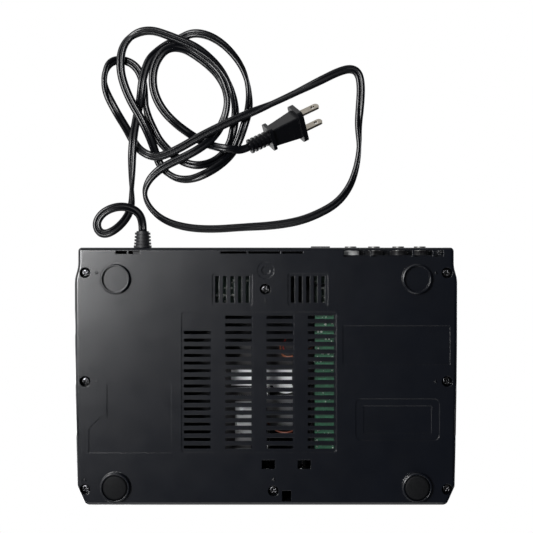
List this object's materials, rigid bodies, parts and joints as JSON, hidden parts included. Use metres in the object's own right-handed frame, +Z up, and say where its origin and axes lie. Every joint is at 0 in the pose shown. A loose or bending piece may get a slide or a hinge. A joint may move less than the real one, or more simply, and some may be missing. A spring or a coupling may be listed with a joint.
{
  "type": "disc player",
  "caption": "Black top-loading disc player seen from below, with vented base, hinged lid, traverse mechanism, rear sockets and a looped flat mains lead with plug",
  "frame": {"origin": "on the ground under the middle of the case", "axes": "+X right seen from the front, +Y rear with the sockets, +Z up"},
  "size_m": [0.2648, 0.3303, 0.0575],
  "materials": {
    "case_plastic": "moulded black, fine spark texture",
    "pad_rubber": "matt black rubber",
    "inner_plastic": "plain black moulding",
    "pin_steel": "ground steel",
    "button_gloss": "gloss black caps",
    "panel_gloss": "gloss black trim",
    "window_plastic": "smoked clear plastic",
    "circuit_board": "green lacquered laminate",
    "connector_plastic": "natural nylon",
    "capacitor_sleeve": "shrink sleeve",
    "socket_metal": "nickel plate",
    "socket_collar": "coloured collars",
    "transformer_steel": "varnished laminations",
    "aluminium_fins": "plain aluminium",
    "bright_steel": "bright zinc plate",
    "sled_casting": "grey casting",
    "lens_glass": "coated lens",
    "motor_steel": "drawn steel can",
    "gear_plastic": "natural acetal",
    "cord_plastic": "soft black vinyl",
    "blade_metal": "dull nickel on brass"
  },
  "bodies": {
    "case": {"bottom_case": "case_plastic", "bulk_capacitor": "capacitor_sleeve", "button_board": "circuit_board", "chassis_dampers": "pad_rubber", "control_panel": "panel_gloss", "digital_socket": "inner_plastic", "display_board": "circuit_board", "display_module": "window_plastic", "front_pads": "pad_rubber", "front_window": "window_plastic", "guide_rods": "pin_steel", "heat_sink": "aluminium_fins", "hinge_pins": "pin_steel", "ir_receiver": "inner_plastic", "latch_bracket": "inner_plastic", "main_board": "circuit_board", "main_capacitors": "capacitor_sleeve", "main_chips": "inner_plastic", "main_connectors": "connector_plastic", "mech_chassis": "inner_plastic", "motor_bracket": "motor_steel", "motor_plate": "bright_steel", "plug": "cord_plastic", "plug_blades": "blade_metal", "power_board": "circuit_board", "power_cord": "cord_plastic", "power_parts": "capacitor_sleeve", "sled_motor": "motor_steel", "socket_barrels": "socket_metal", "socket_body": "inner_plastic", "socket_collars": "socket_collar", "spindle_motor": "bright_steel", "strain_relief": "cord_plastic", "tact_switches": "inner_plastic", "top_case": "case_plastic", "transformer": "transformer_steel"},
    "lid": {"lid": "case_plastic", "clamp_bridge": "inner_plastic"},
    "clamper": {"clamper": "inner_plastic"},
    "open_button": {"open_button": "button_gloss"},
    "latch": {"latch_slider": "inner_plastic"},
    "turntable": {"turntable": "inner_plastic"},
    "sled": {"sled": "sled_casting"},
    "lens": {"lens": "lens_glass"},
    "drive_gear": {"drive_gear": "gear_plastic"},
    "motor_pinion": {"motor_pinion": "gear_plastic"},
    "power_button": {"power_button": "button_gloss"},
    "pause_button": {"pause_button": "button_gloss"},
    "play_button": {"play_button": "button_gloss"},
    "previous_button": {"previous_button": "button_gloss"},
    "next_button": {"next_button": "button_gloss"},
    "stop_button": {"stop_button": "button_gloss"}
  },
  "joints": [
    {"name": "lid_hinge", "type": "hinge", "parent": "case", "child": "lid", "pos_m": [-0.014, 0.07, 0.046], "axis": [-1, 0, 0], "range_deg": [0, 75]},
    {"name": "clamper_spin", "type": "hinge", "parent": "lid", "child": "clamper", "pos_m": [-0.014, -0.004, 0.0517], "axis": [0, 0, 1], "continuous": true},
    {"name": "open_press", "type": "slide", "parent": "case", "child": "open_button", "axis": [0, 0, -1], "range_m": [0, 0.002], "stiffness_N_per_m": 200, "springref_m": -0.0003},
    {"name": "latch_slide", "type": "slide", "parent": "case", "child": "latch", "axis": [0, -1, 0], "range_m": [0, 0.002]},
    {"name": "spindle_spin", "type": "hinge", "parent": "case", "child": "turntable", "pos_m": [-0.014, -0.004, 0.036], "axis": [0, 0, 1], "continuous": true},
    {"name": "sled_slide", "type": "slide", "parent": "case", "child": "sled", "axis": [0, -1, 0], "range_m": [0, 0.032]},
    {"name": "drive_gear_spin", "type": "hinge", "parent": "case", "child": "drive_gear", "pos_m": [0.012, -0.021, 0.028], "axis": [0, 0, 1], "range_deg": [0, 229.2]},
    {"name": "motor_pinion_spin", "type": "hinge", "parent": "case", "child": "motor_pinion", "pos_m": [0.012, -0.0322, 0.028], "axis": [0, 0, 1], "range_deg": [-573, 0]},
    {"name": "lens_focus", "type": "slide", "parent": "sled", "child": "lens", "axis": [0, 0, 1], "range_m": [-0.0004, 0.0004], "stiffness_N_per_m": 40},
    {"name": "power_press", "type": "slide", "parent": "case", "child": "power_button", "axis": [0, 0, -1], "range_m": [0, 0.0008], "stiffness_N_per_m": 300, "springref_m": -0.0003},
    {"name": "pause_press", "type": "slide", "parent": "case", "child": "pause_button", "axis": [0, 0, -1], "range_m": [0, 0.0008], "stiffness_N_per_m": 300, "springref_m": -0.0003},
    {"name": "play_press", "type": "slide", "parent": "case", "child": "play_button", "axis": [0, 0, -1], "range_m": [0, 0.0008], "stiffness_N_per_m": 300, "springref_m": -0.0003},
    {"name": "previous_press", "type": "slide", "parent": "case", "child": "previous_button", "axis": [0, 0, -1], "range_m": [0, 0.0008], "stiffness_N_per_m": 300, "springref_m": -0.0003},
    {"name": "next_press", "type": "slide", "parent": "case", "child": "next_button", "axis": [0, 0, -1], "range_m": [0, 0.0008], "stiffness_N_per_m": 300, "springref_m": -0.0003},
    {"name": "stop_press", "type": "slide", "parent": "case", "child": "stop_button", "axis": [0, 0, -1], "range_m": [0, 0.0008], "stiffness_N_per_m": 300, "springref_m": -0.0003}
  ],
  "couplings": [
    {"joint": "latch_slide", "follows": "open_press", "ratio": 1},
    {"joint": "drive_gear_spin", "follows": "sled_slide", "rad_per_m": 125},
    {"joint": "motor_pinion_spin", "follows": "sled_slide", "rad_per_m": -312.5}
  ]
}
